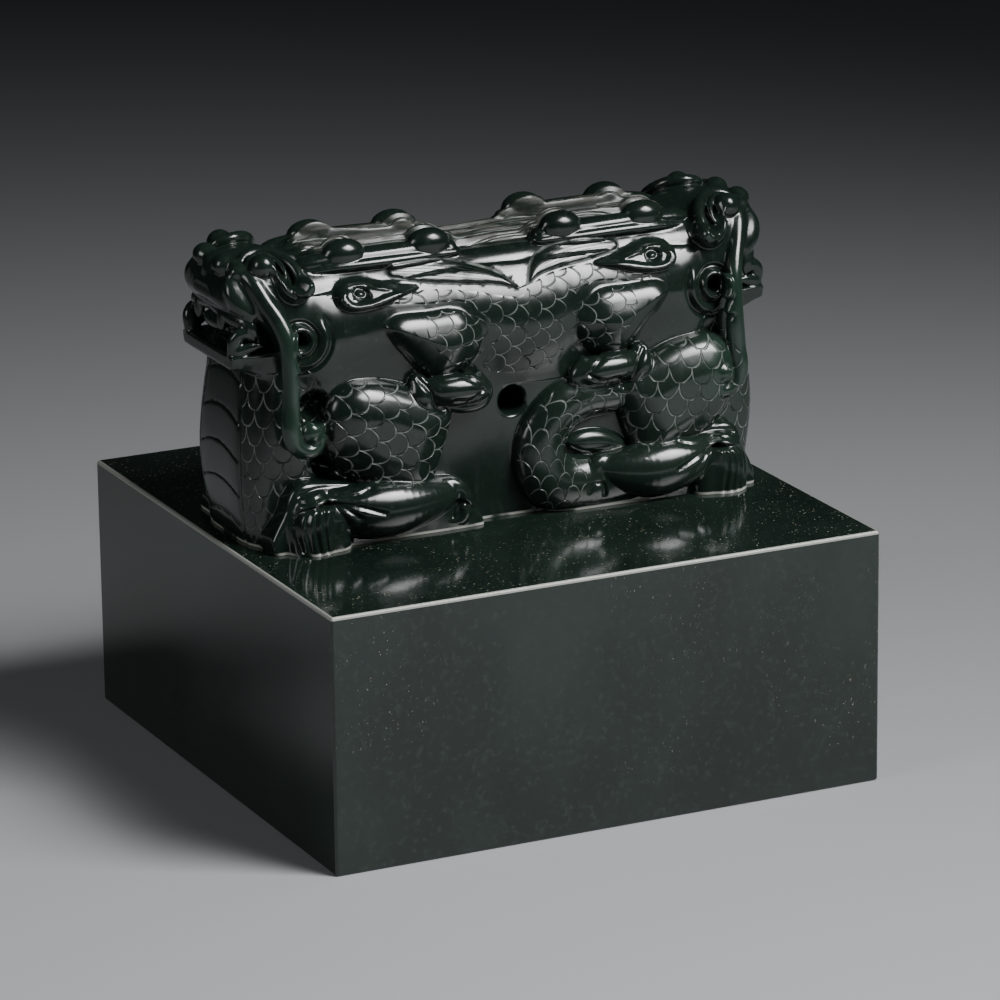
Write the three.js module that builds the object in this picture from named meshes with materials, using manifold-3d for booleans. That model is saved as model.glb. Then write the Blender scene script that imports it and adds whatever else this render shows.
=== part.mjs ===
// Stone seal: a square block of dark green stone with a knob of two joined dragons, all carved from one
// piece. Millimetres, +Z up. The origin is the centre of the underside. X runs along the knob, from one
// head to the other, and the cord hole runs through it along Y.
import * as THREE from 'three';
import { mergeVertices } from 'three/addons/utils/BufferGeometryUtils.js';
import Module from 'manifold-3d';

const wasm = await Module();
wasm.setup();

// The block
const BLOCK_SIDE = 108;
const BLOCK_HEIGHT = 47.5;
const BLOCK_EDGE = 0.5;
const FACE_BORDER = 8;
const FACE_COLUMNS = 4;
const FACE_STROKE_WIDTH = 6;
const FACE_STROKE_GAP = 7;
const FACE_DEPTH = 0.8;

// The knob, measured snout to snout, across its two plain walls and up to its back
const KNOB_LENGTH = 108;
const KNOB_THICKNESS = 29;
const KNOB_HEIGHT = 49;
const CORD_HOLE_DIAMETER = 4.8;
const CORD_HOLE_UP = 21.6;

// The figure is drawn as [along, across, up] from the middle of the block's top, at the size below,
// and is stretched to the knob's own length, thickness and height.
const DRAWING = new THREE.Vector3(108, 29, 49);
const STRETCH = new THREE.Vector3(KNOB_LENGTH, KNOB_THICKNESS, KNOB_HEIGHT).divide(DRAWING);
const WALL = DRAWING.y / 2;
const WALL_END = DRAWING.x / 2 - 17; // where the plain wall stops and the heads and breasts go on
const SHOULDER = DRAWING.z - 10.5; // how high the wall stands upright before it rolls over to the back
const BACK_HALF = WALL - 6; // half the width of the flat back
const ROOT = -1.5; // how far the figure's feet reach down into the block
const PAD_ROOT = 1.5; // how far a raised form reaches back into the wall

// Half-widths of the round forms, along, across and up
const BEAD = [3.9, 3.1, 2.8];
const NOSTRIL = [3, 3.1, 3];
const EYE = [2.8, 2.6, 2.7];
const TONGUE = [6.4, 6.6, 3.4];

/** A closed solid from a geometry, with its faces turned outwards. */
function solidOf(geometry) {
  geometry.deleteAttribute('normal');
  geometry.deleteAttribute('uv');
  const merged = mergeVertices(geometry, 1e-4);
  const places = merged.attributes.position.array;
  const corners = Uint32Array.from(merged.index.array);
  const [a, b, c] = [new THREE.Vector3(), new THREE.Vector3(), new THREE.Vector3()];
  let volume = 0;
  for (let i = 0; i < corners.length; i += 3) {
    a.fromArray(places, corners[i] * 3);
    b.fromArray(places, corners[i + 1] * 3);
    c.fromArray(places, corners[i + 2] * 3);
    volume += a.dot(b.cross(c));
  }
  if (volume < 0) {
    for (let i = 0; i < corners.length; i += 3) {
      [corners[i], corners[i + 1]] = [corners[i + 1], corners[i]];
    }
  }
  return new wasm.Manifold(new wasm.Mesh({ numProp: 3, vertProperties: places, triVerts: corners }));
}

/** A skin over rings of points, closed at both ends by a point. */
function skin(rings, start, end) {
  const sides = rings[0].length;
  const places = [start, ...rings.flat(), end].flatMap((p) => [p.x, p.y, p.z]);
  const last = rings.length * sides + 1;
  const corners = [];
  for (let j = 0; j < sides; j += 1) {
    const k = (j + 1) % sides;
    corners.push(0, 1 + k, 1 + j);
    for (let i = 0; i < rings.length - 1; i += 1) {
      const [low, high] = [1 + i * sides, 1 + (i + 1) * sides];
      corners.push(low + j, low + k, high + k, low + j, high + k, high + j);
    }
    corners.push(last, last - sides + j, last - sides + k);
  }
  const geometry = new THREE.BufferGeometry();
  geometry.setAttribute('position', new THREE.Float32BufferAttribute(places, 3));
  geometry.setIndex(corners);
  return geometry;
}

/** Reads a list of values at a share t of its length, with straight steps between them. */
function readAt(values, t) {
  const place = t * (values.length - 1);
  const i = Math.min(Math.floor(place), values.length - 2);
  return THREE.MathUtils.lerp(values[i], values[i + 1], place - i);
}

/**
 * A limb: a tube on a smooth line through the points, with round ends. wide is its half-width at each point,
 * measured square to the line and to face, and deep its half-width along face.
 */
function limb(points, wide, deep, { sides = 6, steps = 3, face = [0, 1, 0] } = {}) {
  const line = new THREE.CatmullRomCurve3(points.map((p) => new THREE.Vector3(...p)), false, 'centripetal');
  const out = new THREE.Vector3(...face);
  const ring = (t, shrink, beyond) => {
    const tangent = line.getTangent(t);
    const up = out.clone().addScaledVector(tangent, -out.dot(tangent)).normalize();
    const side = tangent.clone().cross(up);
    const centre = line.getPoint(t).addScaledVector(tangent, beyond);
    const [a, b] = [readAt(wide, t) * shrink, readAt(deep, t) * shrink];
    return Array.from({ length: sides }, (_, j) => {
      const turn = (j / sides) * Math.PI * 2;
      return centre.clone().addScaledVector(side, a * Math.cos(turn)).addScaledVector(up, b * Math.sin(turn));
    });
  };
  const cap = (t, sign) => [0.72, 0].map((shrink) => {
    const reach = Math.min(readAt(wide, t), readAt(deep, t)) * Math.sqrt(1 - shrink * shrink);
    return shrink ? ring(t, shrink, sign * reach) : ring(t, shrink, sign * reach)[0];
  });
  const [startRing, start] = cap(0, -1);
  const [endRing, end] = cap(1, 1);
  const rings = Array.from({ length: steps + 1 }, (_, i) => ring(i / steps, 1, 0));
  return solidOf(skin([startRing, ...rings, endRing], start, end));
}

/** An egg-shaped lump with three half-widths. */
function lump(centre, halves, sides = 6) {
  const ball = new THREE.SphereGeometry(1, sides, Math.round(sides * 0.7));
  ball.rotateX(Math.PI / 2).scale(...halves).translate(...centre);
  return solidOf(ball);
}

/**
 * A form raised on the near wall: an outline drawn on it as [along, up], domed outwards by high.
 * It is rooted in the wall behind.
 */
function pad(outline, high, sides = 12) {
  const line = new THREE.CatmullRomCurve3(outline.map(([x, z]) => new THREE.Vector3(x, 0, z)), true,
      'centripetal');
  const rim = line.getSpacedPoints(sides).slice(0, sides);
  const middle = rim.reduce((sum, p) => sum.add(p), new THREE.Vector3()).divideScalar(sides);
  const at = (point, out) => point.clone().setY(-WALL - out);
  const levels = [[1, -PAD_ROOT], [1, 0.25 * high], [0.84, 0.72 * high], [0.45, 0.96 * high]];
  const rings = levels.map(([share, out]) => rim.map((p) => at(middle.clone().lerp(p, share), out)));
  return solidOf(skin(rings, at(middle, -PAD_ROOT), at(middle, high)));
}

/**
 * A body whose closed sections stand square to X. Each section is [along, half-width, bottom, top,
 * taper].
 */
function sections(list, sides = 10, squareness = 0.75) {
  const soft = (value) => Math.sign(value) * Math.abs(value) ** squareness;
  const rings = list.map(([along, half, bottom, top, taper]) => Array.from({ length: sides }, (_, j) => {
    const turn = ((j + 0.5) / sides) * Math.PI * 2;
    const rise = soft(Math.sin(turn));
    const width = half * (1 - taper * (rise + 1) / 2);
    const up = THREE.MathUtils.lerp(bottom, top, (rise + 1) / 2);
    return new THREE.Vector3(along, width * soft(Math.cos(turn)), up);
  }));
  const middle = ([along, , bottom, top]) => new THREE.Vector3(along, 0, (bottom + top) / 2);
  return solidOf(skin(rings, middle(list[0]), middle(list.at(-1))));
}

/** Joins solids into one. */
const join = (solids) => solids.reduce((whole, solid) => whole.add(solid));

/** Both copies of what a function makes for the near side and the far side, across = -1 and 1. */
const bothSides = (make) => [-1, 1].flatMap((across) => make(across));

/** The plain wall that the figure stands against, with its rounded shoulders. */
function wall() {
  const outline = new THREE.Shape();
  const roll = [WALL - BACK_HALF, DRAWING.z - SHOULDER];
  outline.moveTo(-WALL, ROOT);
  outline.lineTo(WALL, ROOT);
  outline.lineTo(WALL, SHOULDER);
  outline.absellipse(BACK_HALF, SHOULDER, ...roll, 0, Math.PI / 2);
  outline.absellipse(-BACK_HALF, SHOULDER, ...roll, Math.PI / 2, Math.PI);
  outline.closePath();
  const body = new THREE.ExtrudeGeometry(outline, { depth: 2 * WALL_END, bevelEnabled: false,
      curveSegments: 5 });
  body.rotateX(Math.PI / 2).rotateZ(Math.PI / 2).translate(-WALL_END, 0, 0);
  return solidOf(body);
}

/** The breast under a head, a bulging roll of broad belly plates that step over one another. */
function breast(end) {
  const middle = 36;
  const top = 36;
  const plates = 5;
  const step = 0.8;
  const half = 13.6;
  const sides = 16;
  const squareness = 0.4;
  const soft = (value) => Math.sign(value) * Math.abs(value) ** squareness;
  const bulge = (up) => 48.9 + 2.2 * Math.sin(Math.PI * Math.min(up / top + 0.1, 1));
  const rings = [];
  for (let i = 0; i < plates; i += 1) {
    const [low, high] = [i, i + 1].map((place) => THREE.MathUtils.lerp(ROOT, top, place / plates));
    for (const [up, lift] of [[low, 0], [high - 1, step]]) {
      const reach = bulge(up) + lift - middle;
      rings.push(Array.from({ length: sides }, (_, j) => {
        const turn = (j / sides) * Math.PI * 2;
        return new THREE.Vector3(end * (middle + reach * soft(Math.cos(turn))),
            half * soft(Math.sin(turn)), up);
      }));
    }
  }
  return solidOf(skin(rings, new THREE.Vector3(end * middle, 0, ROOT),
      new THREE.Vector3(end * middle, 0, top)));
}

/** The upper half of a head: cheeks, skull, brow and snout. */
function skull(end) {
  const list = [[31, 14.8, 20, 48.4, 0.3], [37, 15, 25, 50, 0.36], [42, 15, 36, 51.4, 0.45],
    [47, 13.2, 40.4, 51.6, 0.5], [51.6, 10.4, 42.4, 50.4, 0.45], [53.4, 7.4, 43.4, 48.8, 0.4]];
  return sections(list.map(([along, ...rest]) => [end * along, ...rest]));
}

/** The lower jaw, a thin flat slab with a straight front edge. */
function jaw(end) {
  const list = [[33, 12, 26, 35, 0], [40, 12.6, 29.4, 35.6, -0.05], [46, 12.2, 31.6, 35.9, -0.06],
    [53.3, 11.2, 33.1, 36.1, -0.06]];
  return sections(list.map(([along, ...rest]) => [end * along, ...rest]), 8, 0.35);
}

/** The tongue, fangs and molars in the open mouth. */
function mouth(end) {
  const shape = { sides: 5, steps: 1 };
  const tongue = lump([end * 46.5, 0, 38], TONGUE);
  const fangs = bothSides((across) => [
    limb([[end * 52.2, across * 5.4, 45], [end * 52.3, across * 7.8, 36]], [2.2, 1.6], [1.6, 1.4], shape),
    limb([[end * 48.6, across * 11, 42.8], [end * 49.6, across * 11.4, 36]], [1.7, 1.9], [1.5, 1.5], shape),
  ]);
  return [tongue, ...fangs];
}

/** The features on one side of a head: nostril, eye, brow, and the lock curled behind the brow. */
function face(end, across) {
  const place = ([along, out, up]) => [end * along, across * out, up];
  return [
    lump(place([51.4, 4.2, 51.6]), NOSTRIL),
    lump(place([45.6, 6, 51.8]), EYE),
    limb([[48.6, 2.6, 51.4], [43.6, 2.6, 53], [39.8, 7, 51.8], [39.2, 11.4, 48.8]].map(place),
      [1.4, 1.9, 1.9, 1.4], [1.4, 1.8, 1.8, 1.4], { sides: 5, steps: 3, face: [0, 0, 1] }),
    limb([[46, 9.6, 49.4], [42.4, 13.4, 45.6], [38.8, 13.6, 47.6]].map(place),
      [1.6, 3, 1.9], [1.4, 1.9, 1.6], { sides: 5, steps: 2 }),
  ];
}

/** One whisker: a ridge down the cheek that comes free of it and hangs to a curl against the breast. */
function whisker(end, across) {
  const place = ([along, out, up]) => [end * along, across * out, up];
  const points = [[50, 5.6, 51], [46.4, 12.4, 44], [44.2, 15.8, 38.4], [44, 17.6, 30], [44.6, 18.2, 24.2],
    [42, 18, 21.6], [38.6, 13, 22.4]];
  const half = [1.4, 1.9, 1.9, 1.6, 1.8, 2.6, 2.4];
  return limb(points.map(place), half, half, { sides: 5, steps: 8 });
}

/** The teardrop behind the cheek, round towards the head. */
function ear(end, across) {
  const points = [[33, 13.4, 45], [25.6, 13.8, 44.9], [18, 13.4, 45.2]];
  return limb(points.map(([along, out, up]) => [end * along, across * out, up]),
    [2.6, 2.8, 0.5], [1.6, 1.7, 0.5], { sides: 5, steps: 3 });
}

/** A horn laid back along the top, with a bead near each end. */
function horn(end, across) {
  const lie = 7.8;
  const beads = [29.2, 13].map((along) => lump([end * along, across * lie, 52], BEAD));
  return [
    limb([[end * 38, across * (lie - 1), 49.4], [end * 30, across * lie, 49.6],
        [end * 11, across * lie, 49.2]],
      [2.2, 3, 2.6], [1.4, 1.9, 1.7], { steps: 2, face: [0, 0, 1] }),
    ...beads,
  ];
}

/** The locks of mane between the horns, as ridges that run the length of the back. */
function mane() {
  return [-3.6, 0, 3.6].map((across) => limb(
    [[-33, across * 0.9, 48.6], [0, across, 49.2], [33, across * 0.9, 48.6]],
    [1.2, 2, 1.2], [1, 1.8, 1], { steps: 2, face: [0, 0, 1] }));
}

/** Turns [out, up] points of a limb's drawing into [along, up] places on the near wall. */
const placed = (points, mid, side) => points.map(([out, up]) => [mid + side * out, up]);

/** A foreleg on the near wall: thigh, then a foot that lies along the block with its paw outwards. */
function foreleg(side, thighMid, footMid) {
  const thigh = [[37.6, 20.4], [36.5, 27.6], [31.6, 29.1], [25.7, 28.9], [16, 24.8], [12.1, 22.4],
      [14.2, 15.2],
    [17.2, 8], [24, 7], [30, 9.6], [34.5, 14]];
  const paw = [[45.6, 2], [45.2, 8.6], [40.4, 12], [34.6, 11], [33, 5], [33.6, ROOT], [44.6, ROOT]];
  const x = (out) => footMid + side * out;
  const y = -WALL - 2.6;
  return [
    pad(placed(thigh, thighMid, side), 5.2, 14),
    pad(placed(paw, footMid, side), 7, 9),
    limb([[x(40.5), y, 8], [x(30), y - 0.6, 5.2], [x(20), y - 0.6, 4.8], [x(13.6), y + 0.6, 3.2]],
      [3.8, 5.8, 5.8, 4.2], [3.4, 4, 3.9, 2.6]),
  ];
}

/**
 * A hind leg folded against the near wall: a knee thrown outwards, then a foot turned back with its
 * claws.
 */
function hindLeg(side, mid) {
  const knee = [[25.5, 39.1], [23.1, 41.2], [17.2, 40.4], [10.3, 40.1], [5.5, 35.2], [7.5, 31.8], [10.5, 29],
    [12, 26], [18, 26], [20.5, 32], [24.3, 36]];
  const foot = [[20.4, 27.9], [20.8, 25.2], [15.6, 22.4], [9.6, 22], [6, 24.6], [7, 27.6], [12, 28.4],
      [16, 28.4]];
  return [
    pad(placed(knee, mid, side), 3.8),
    pad(placed(foot, mid, side), 4.8, 10),
  ];
}

/** The tail, a thick band that coils back on itself beside the cord hole. */
function tail() {
  const y = -WALL;
  return limb([[17, y + 0.4, 20.2], [9.6, y, 19.6], [5.4, y, 14], [6, y, 8], [11, y, 4.8],
      [22, y + 0.6, 4.4]],
    [4, 4.6, 5, 5.4, 5.4, 4.8], [2.8, 3.8, 4.2, 4.2, 4, 3.6], { sides: 7, steps: 7 });
}

/** The two combed locks that lie over the near shoulder and meet at the middle. */
function shoulderLocks() {
  const face = [0, 0.8, -0.6];
  return [
    limb([[-24, -10.8, 47.2], [-8, -13, 44.2], [1, -14.6, 41.4]], [1.8, 2.5, 0.5], [1, 1.4, 0.5],
        { sides: 5, face }),
    limb([[2.4, -14.6, 42], [10, -12.8, 45.6], [20, -11.6, 46.8]], [0.5, 2.4, 1.4], [0.5, 1.4, 1],
        { sides: 5, face }),
  ];
}

/** The scaled back of both bodies, a soft swelling across the wall under the locks. */
function bodyRoll() {
  const y = -WALL + 3.2;
  return limb([[-33, y, 38], [-14, y - 0.4, 38], [3, y - 0.4, 36.4], [18, y - 0.4, 38], [33, y, 38]],
    [4.5, 6, 8, 6, 4.5], [3.2, 4, 3.8, 4, 3.2]);
}

/** All that lies on the near wall. */
function nearRelief() {
  return [bodyRoll(), ...foreleg(-1, 0, 0), ...foreleg(1, 7.5, 1.2), ...hindLeg(-1, 0),
    ...hindLeg(1, 6), tail(),
    ...shoulderLocks()];
}

/** Everything that belongs to one head, on both of its sides. */
function head(end) {
  return [
    skull(end),
    jaw(end),
    breast(end),
    ...mouth(end),
    ...bothSides((across) => [...face(end, across), whisker(end, across), ear(end, across),
        ...horn(end, across)]),
  ];
}

/** The geometry of a solid, as a three.js mesh needs it. */
function geometryOf(solid) {
  const mesh = solid.getMesh();
  const geometry = new THREE.BufferGeometry();
  geometry.setAttribute('position', new THREE.BufferAttribute(mesh.vertProperties, 3));
  geometry.setIndex(new THREE.BufferAttribute(mesh.triVerts, 1));
  return geometry;
}

/** The cord hole, a round bore from wall to wall. */
function cordHole() {
  const bore = new THREE.CylinderGeometry(CORD_HOLE_DIAMETER / 2, CORD_HOLE_DIAMETER / 2, BLOCK_SIDE, 12);
  return solidOf(bore.translate(0, 0, BLOCK_HEIGHT + CORD_HOLE_UP));
}

/** The knob at its own size, standing on the block. Its far wall is the near one turned half round. */
function knob() {
  const near = join(nearRelief());
  const far = solidOf(geometryOf(near).rotateZ(Math.PI));
  const figure = join([wall(), near, far, ...mane(), ...head(-1), ...head(1)]);
  return solidOf(geometryOf(figure).scale(...STRETCH).translate(0, 0, BLOCK_HEIGHT));
}

/** The square block with its edges slightly eased. */
function block() {
  const half = BLOCK_SIDE / 2;
  const ease = BLOCK_EDGE;
  const outline = new THREE.Shape([[-1, -1], [1, -1], [1, 1], [-1, 1]].flatMap(([x, y]) => {
    const [near, far] = [half - ease, half - 2 * ease];
    const corner = [[x * near, y * far], [x * far, y * near]];
    return (x * y > 0 ? corner : corner.reverse()).map((p) => new THREE.Vector2(...p));
  }));
  const body = new THREE.ExtrudeGeometry(outline, {
    depth: BLOCK_HEIGHT - 2 * ease,
    bevelThickness: ease,
    bevelSize: ease,
    bevelSegments: 1,
  });
  return solidOf(body.translate(0, 0, ease));
}

/** The shallow strokes cut in rows into the underside, inside a plain border. */
function faceStrokes() {
  const field = BLOCK_SIDE - 2 * FACE_BORDER;
  const pitch = field / FACE_COLUMNS;
  const rows = Math.floor(field / (FACE_STROKE_WIDTH + FACE_STROKE_GAP));
  const strokes = [];
  for (let column = 0; column < FACE_COLUMNS; column += 1) {
    for (let row = 0; row < rows; row += 1) {
      const long = pitch * ((row + column) % 2 ? 0.78 : 0.5);
      const stroke = new THREE.BoxGeometry(long, FACE_STROKE_WIDTH, 2 * FACE_DEPTH);
      const x = (column + 0.5) * pitch - field / 2;
      const y = ((row + 0.5) / rows - 0.5) * field;
      strokes.push(solidOf(stroke.translate(x, y, 0)));
    }
  }
  return join(strokes);
}

const seal = block().add(knob()).subtract(cordHole()).subtract(faceStrokes());
const mesh = new THREE.Mesh(
  geometryOf(seal), new THREE.MeshStandardMaterial({ color: 0x1f2a26, roughness: 0.18, metalness: 0 }));
mesh.name = 'seal';
const part = new THREE.Group();
part.add(mesh);
export default part;
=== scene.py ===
# A stone seal: a square block with a knob of two joined dragons, carved from one dark green stone.
# The knob is modelled as clay on a grid of cells that hold a distance to the surface, in millimetres.
import math
from functools import partial, reduce

import bmesh
import bpy
import numpy as np
from mathutils import Matrix, Vector


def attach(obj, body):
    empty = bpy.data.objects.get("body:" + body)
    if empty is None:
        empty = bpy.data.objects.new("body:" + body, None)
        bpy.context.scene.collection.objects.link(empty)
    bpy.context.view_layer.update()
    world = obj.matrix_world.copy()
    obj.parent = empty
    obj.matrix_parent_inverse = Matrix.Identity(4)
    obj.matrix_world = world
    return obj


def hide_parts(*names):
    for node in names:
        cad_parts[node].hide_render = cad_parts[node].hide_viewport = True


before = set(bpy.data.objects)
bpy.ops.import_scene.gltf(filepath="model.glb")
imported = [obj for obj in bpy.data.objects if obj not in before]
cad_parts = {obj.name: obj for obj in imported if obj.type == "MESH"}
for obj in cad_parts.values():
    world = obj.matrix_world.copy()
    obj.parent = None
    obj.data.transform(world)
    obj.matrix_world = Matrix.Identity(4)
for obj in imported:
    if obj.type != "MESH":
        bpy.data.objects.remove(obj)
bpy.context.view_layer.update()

MM = 0.001

# The block, in millimetres
BLOCK_SIDE = 108.0
BLOCK_HEIGHT = 47.5
BLOCK_EDGE = 0.55
STROKE_DEPTH = 0.8
STROKE_WIDTH = 6.0
STROKE_GAP = 7.0
STROKE_COLUMNS = 4
FACE_BORDER = 8.0
# The block's faces of more square millimetres than this shade flat
WIDE_FACE = 25.0

# The knob. Along is X, out is the distance from its middle plane and up is counted from the block's top.
KNOB_HEIGHT = 49.0
WALL = 14.5
WALL_END = 38.0
SHOULDER = 34.0
BACK_HALF = 8.5
BURIED = 1.2
CORD_HOLE_RADIUS = 2.4
CORD_HOLE_UP = 21.6

CELL = 0.25
FACETS = 190000


def soft_min(a, b, soft):
    """The lesser of two distances, with a fillet about as wide as soft where they meet."""
    if soft <= 0:
        return np.minimum(a, b)
    near = np.clip(0.5 + 0.5 * (b - a) / soft, 0, 1)
    return b + (a - b) * near - soft * near * (1 - near)


def step_up(value, low, high):
    """0 below low, 1 above high and smooth between."""
    share = np.clip((value - low) / (high - low), 0, 1)
    return share * share * (3 - 2 * share)


def smooth_line(points, per=6, closed=False):
    """Points on a smooth line through the given ones. Every column is smoothed, radii too."""
    points = np.array(points, float)
    if closed:
        points = np.vstack([points[-1:], points, points[:2]])
    else:
        points = np.vstack([2 * points[0] - points[1], points, 2 * points[-1] - points[-2]])
    t = np.linspace(0, 1, per, endpoint=False)[:, None]
    pieces = []
    for a, b, c, d in zip(points, points[1:], points[2:], points[3:]):
        pieces.append(0.5 * (2 * b + (c - a) * t + (2 * a - 5 * b + 4 * c - d) * t ** 2
                             + (3 * b - a - 3 * c + d) * t ** 3))
    line = np.vstack(pieces)
    return line if closed else np.vstack([line, points[-2]])


def segment_gap(a, b, along, up):
    """The share along a segment that is nearest to each place, and the place's offset from it."""
    dx, dz = b[0] - a[0], b[1] - a[1]
    share = np.clip(((along - a[0]) * dx + (up - a[1]) * dz) / (dx * dx + dz * dz + 1e-9), 0, 1)
    return share, along - a[0] - share * dx, up - a[1] - share * dz


def outline_gap(outline, along, up):
    """Signed distance in the plane of the wall to a closed smooth outline, negative inside."""
    line = smooth_line(outline, closed=True)
    best = np.full(np.broadcast(along, up).shape, 1e9)
    inside = np.zeros(best.shape, bool)
    for a, b in zip(line, np.roll(line, -1, axis=0)):
        _, x, z = segment_gap(a, b, along, up)
        best = np.minimum(best, x ** 2 + z ** 2)
        rise = b[1] - a[1]
        lean = (b[0] - a[0]) / (rise if abs(rise) > 1e-9 else 1e-9)
        inside ^= ((a[1] > up) != (b[1] > up)) & (along < a[0] + (up - a[1]) * lean)
    return np.where(inside, -1, 1) * np.sqrt(best)


class Clay:
    """Half of the knob, from its middle plane outwards. The far half is the same, turned half round."""

    def __init__(self, half_length, depth, low, high):
        count = int(math.ceil(half_length / CELL))
        self.along = (np.arange(-count, count) + 0.5) * CELL
        self.out = (np.arange(int(math.ceil(depth / CELL))) + 0.5) * CELL
        self.up = np.arange(low, high + CELL, CELL)
        self.field = np.full((self.along.size, self.out.size, self.up.size), 5.0, np.float32)

    def cut(self, low, high, reach):
        """The cells in a box, as slices, and their places."""
        axes = (self.along, self.out, self.up)
        slices = tuple(slice(*np.searchsorted(axis, (a - reach, b + reach)))
                       for axis, a, b in zip(axes, low, high))
        along, out, up = (axis[part] for axis, part in zip(axes, slices))
        return slices, (along[:, None, None], out[None, :, None], up[None, None, :])

    def change(self, shape, how, reach, both_ends):
        """Changes the cells near a shape, and where both_ends is set their mirrored ones too."""
        low, high, distance = shape
        slices, place = self.cut(low, high, reach)
        values = distance(*place).astype(np.float32)
        self.field[slices] = how(self.field[slices], values)
        if both_ends:
            count = self.along.size
            other = (slice(count - slices[0].stop, count - slices[0].start),) + slices[1:]
            self.field[other] = how(self.field[other], values[::-1])

    def add(self, shape, soft=0.8, both_ends=False):
        self.change(shape, lambda old, new: soft_min(old, new, soft), soft + 2, both_ends)

    def carve(self, shape, soft=0.5, both_ends=False):
        self.change(shape, lambda old, new: -soft_min(-old, new, soft), soft + 2, both_ends)


def ball(centre, halves, tilt=0.0):
    """An egg, turned by tilt in the plane of the wall."""
    centre, halves = np.array(centre, float), np.array(halves, float)
    reach = halves.max()

    def distance(along, out, up):
        x, y, z = along - centre[0], out - centre[1], up - centre[2]
        x, z = x * math.cos(tilt) + z * math.sin(tilt), z * math.cos(tilt) - x * math.sin(tilt)
        ratio = np.sqrt((x / halves[0]) ** 2 + (y / halves[1]) ** 2 + (z / halves[2]) ** 2)
        slope = np.sqrt((x / halves[0] ** 2) ** 2 + (y / halves[1] ** 2) ** 2 + (z / halves[2] ** 2) ** 2)
        return ratio * (ratio - 1) / np.maximum(slope, 1e-3)

    return centre - reach, centre + reach, distance


def tube(points, flat=(1, 1, 1)):
    """A round-ended limb through points of [along, out, up, radius]. flat squeezes it along an axis."""
    spine = smooth_line(points, per=5)
    squeeze = np.array(flat, float)
    reach = spine[:, 3].max()

    def distance(along, out, up):
        axes = [axis.ravel() for axis in (along, out, up)]
        best = np.full(tuple(axis.size for axis in axes), 9.0)
        for a, b in zip(spine, spine[1:]):
            margin = max(a[3], b[3]) + 3.0
            part = tuple(slice(*np.searchsorted(axis, (min(a[i], b[i]) - margin, max(a[i], b[i]) + margin)))
                         for i, axis in enumerate(axes))
            place = np.ix_(*((axis[cells] - start) / flat for axis, cells, start, flat in
                             zip(axes, part, a, squeeze)))
            step = (b[:3] - a[:3]) / squeeze
            share = np.clip(sum(p * q for p, q in zip(place, step)) / (step @ step + 1e-9), 0, 1)
            gap = np.sqrt(sum((p - share * q) ** 2 for p, q in zip(place, step)))
            best[part] = np.minimum(best[part], (gap - (a[3] + share * (b[3] - a[3]))) * squeeze.min())
        return best

    return spine[:, :3].min(0) - reach, spine[:, :3].max(0) + reach, distance


def pad(outline, high, edge, crown, root):
    """
    A form raised on the wall inside an outline of [along, up], high proud with an edge rounded by edge.
    crown is how much lower it is at its rim than in its middle, and root how deep it reaches into the wall.
    """
    outline = np.array(outline, float)
    low, high_corner = outline.min(0), outline.max(0)

    def distance(along, out, up):
        flat = outline_gap(outline, along[:, :, 0], up[0]).astype(float)[:, None, :]
        top = WALL + high + crown * (step_up(-flat, 0, 7.0) - 1)
        side = flat + edge
        face = np.maximum(out - (top - edge), WALL - root + edge - out)
        outside = np.hypot(np.maximum(side, 0), np.maximum(face, 0))
        return np.minimum(np.maximum(side, face), 0) + outside - edge

    return ((low[0], WALL - root, low[1]), (high_corner[0], WALL + high + 1, high_corner[1]), distance)


def placed(points, middle, side, share=1.0):
    """Turns points drawn as [outwards, ...] into points along the wall, on one side of a middle."""
    return [[middle + side * share * point[0], *point[1:]] for point in points]


def on_foot(points, side):
    """The same for points of a foot's drawing."""
    return placed(points, FOOT_MIDDLE[side], side, FOOT_SHARE[side])


# The outlines of the limbs on the wall, as [outwards, up] from a limb's own middle
THIGH = [[37.8, 20.4], [36.9, 26.4], [32.6, 29.4], [25.7, 29.1], [18.5, 26.4], [12.6, 22.6], [13.6, 16.5],
         [15.6, 11], [17.4, 7], [22, 6.6], [27, 8.5], [32.5, 11.5], [36.4, 15.6]]
KNEE = [[25.8, 38.8], [23.1, 40.8], [17.2, 40.9], [10.3, 40.6], [5.6, 36.2], [6.6, 31.6], [10.5, 28.4],
        [15, 27.4], [18.4, 29.4], [21.4, 32.6], [24.3, 35.6]]
HIND_FOOT = [[20.6, 28.2], [21.2, 25.4], [17.4, 23], [12, 22.4], [7.4, 22.6], [5.6, 25.4], [7.4, 28.2],
             [12, 28.6], [16.4, 28.8]]
FOOT = [[46.4, -2], [46, 8], [43, 12.4], [36, 11.8], [29.6, 11.1], [22, 9.6], [17.5, 10], [11.6, 8.8],
        [9.4, 5], [9.4, -2]]
TAIL_LEAF = [[10.2, 12.4], [13, 14.2], [18, 13.9], [22.4, 11.4], [21, 9.4], [14, 9.8]]
KNEE_SCALES = [[17.8, 39.6], [14.3, 40.6], [7, 38.7], [5, 35.2], [6.8, 31], [11, 29.6], [15.2, 32.6],
               [17.9, 36]]
THIGH_MIDDLE = {-1: 0.0, 1: 7.5}
FOOT_MIDDLE = {-1: 0.0, 1: 4.4}
FOOT_SHARE = {-1: 1.0, 1: 0.9}
HIND_MIDDLE = {-1: 0.0, 1: 6.0}
TAIL = [[20, 20.6, 3.8], [14.5, 20.8, 4.2], [9.4, 19, 4.6], [5.6, 14.6, 5], [5.2, 9.2, 5.4],
        [8.4, 5.4, 5.6], [14, 4.4, 5.4], [22, 4.4, 5.2]]
TAIL_HEART = (13.0, 12.5)


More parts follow.
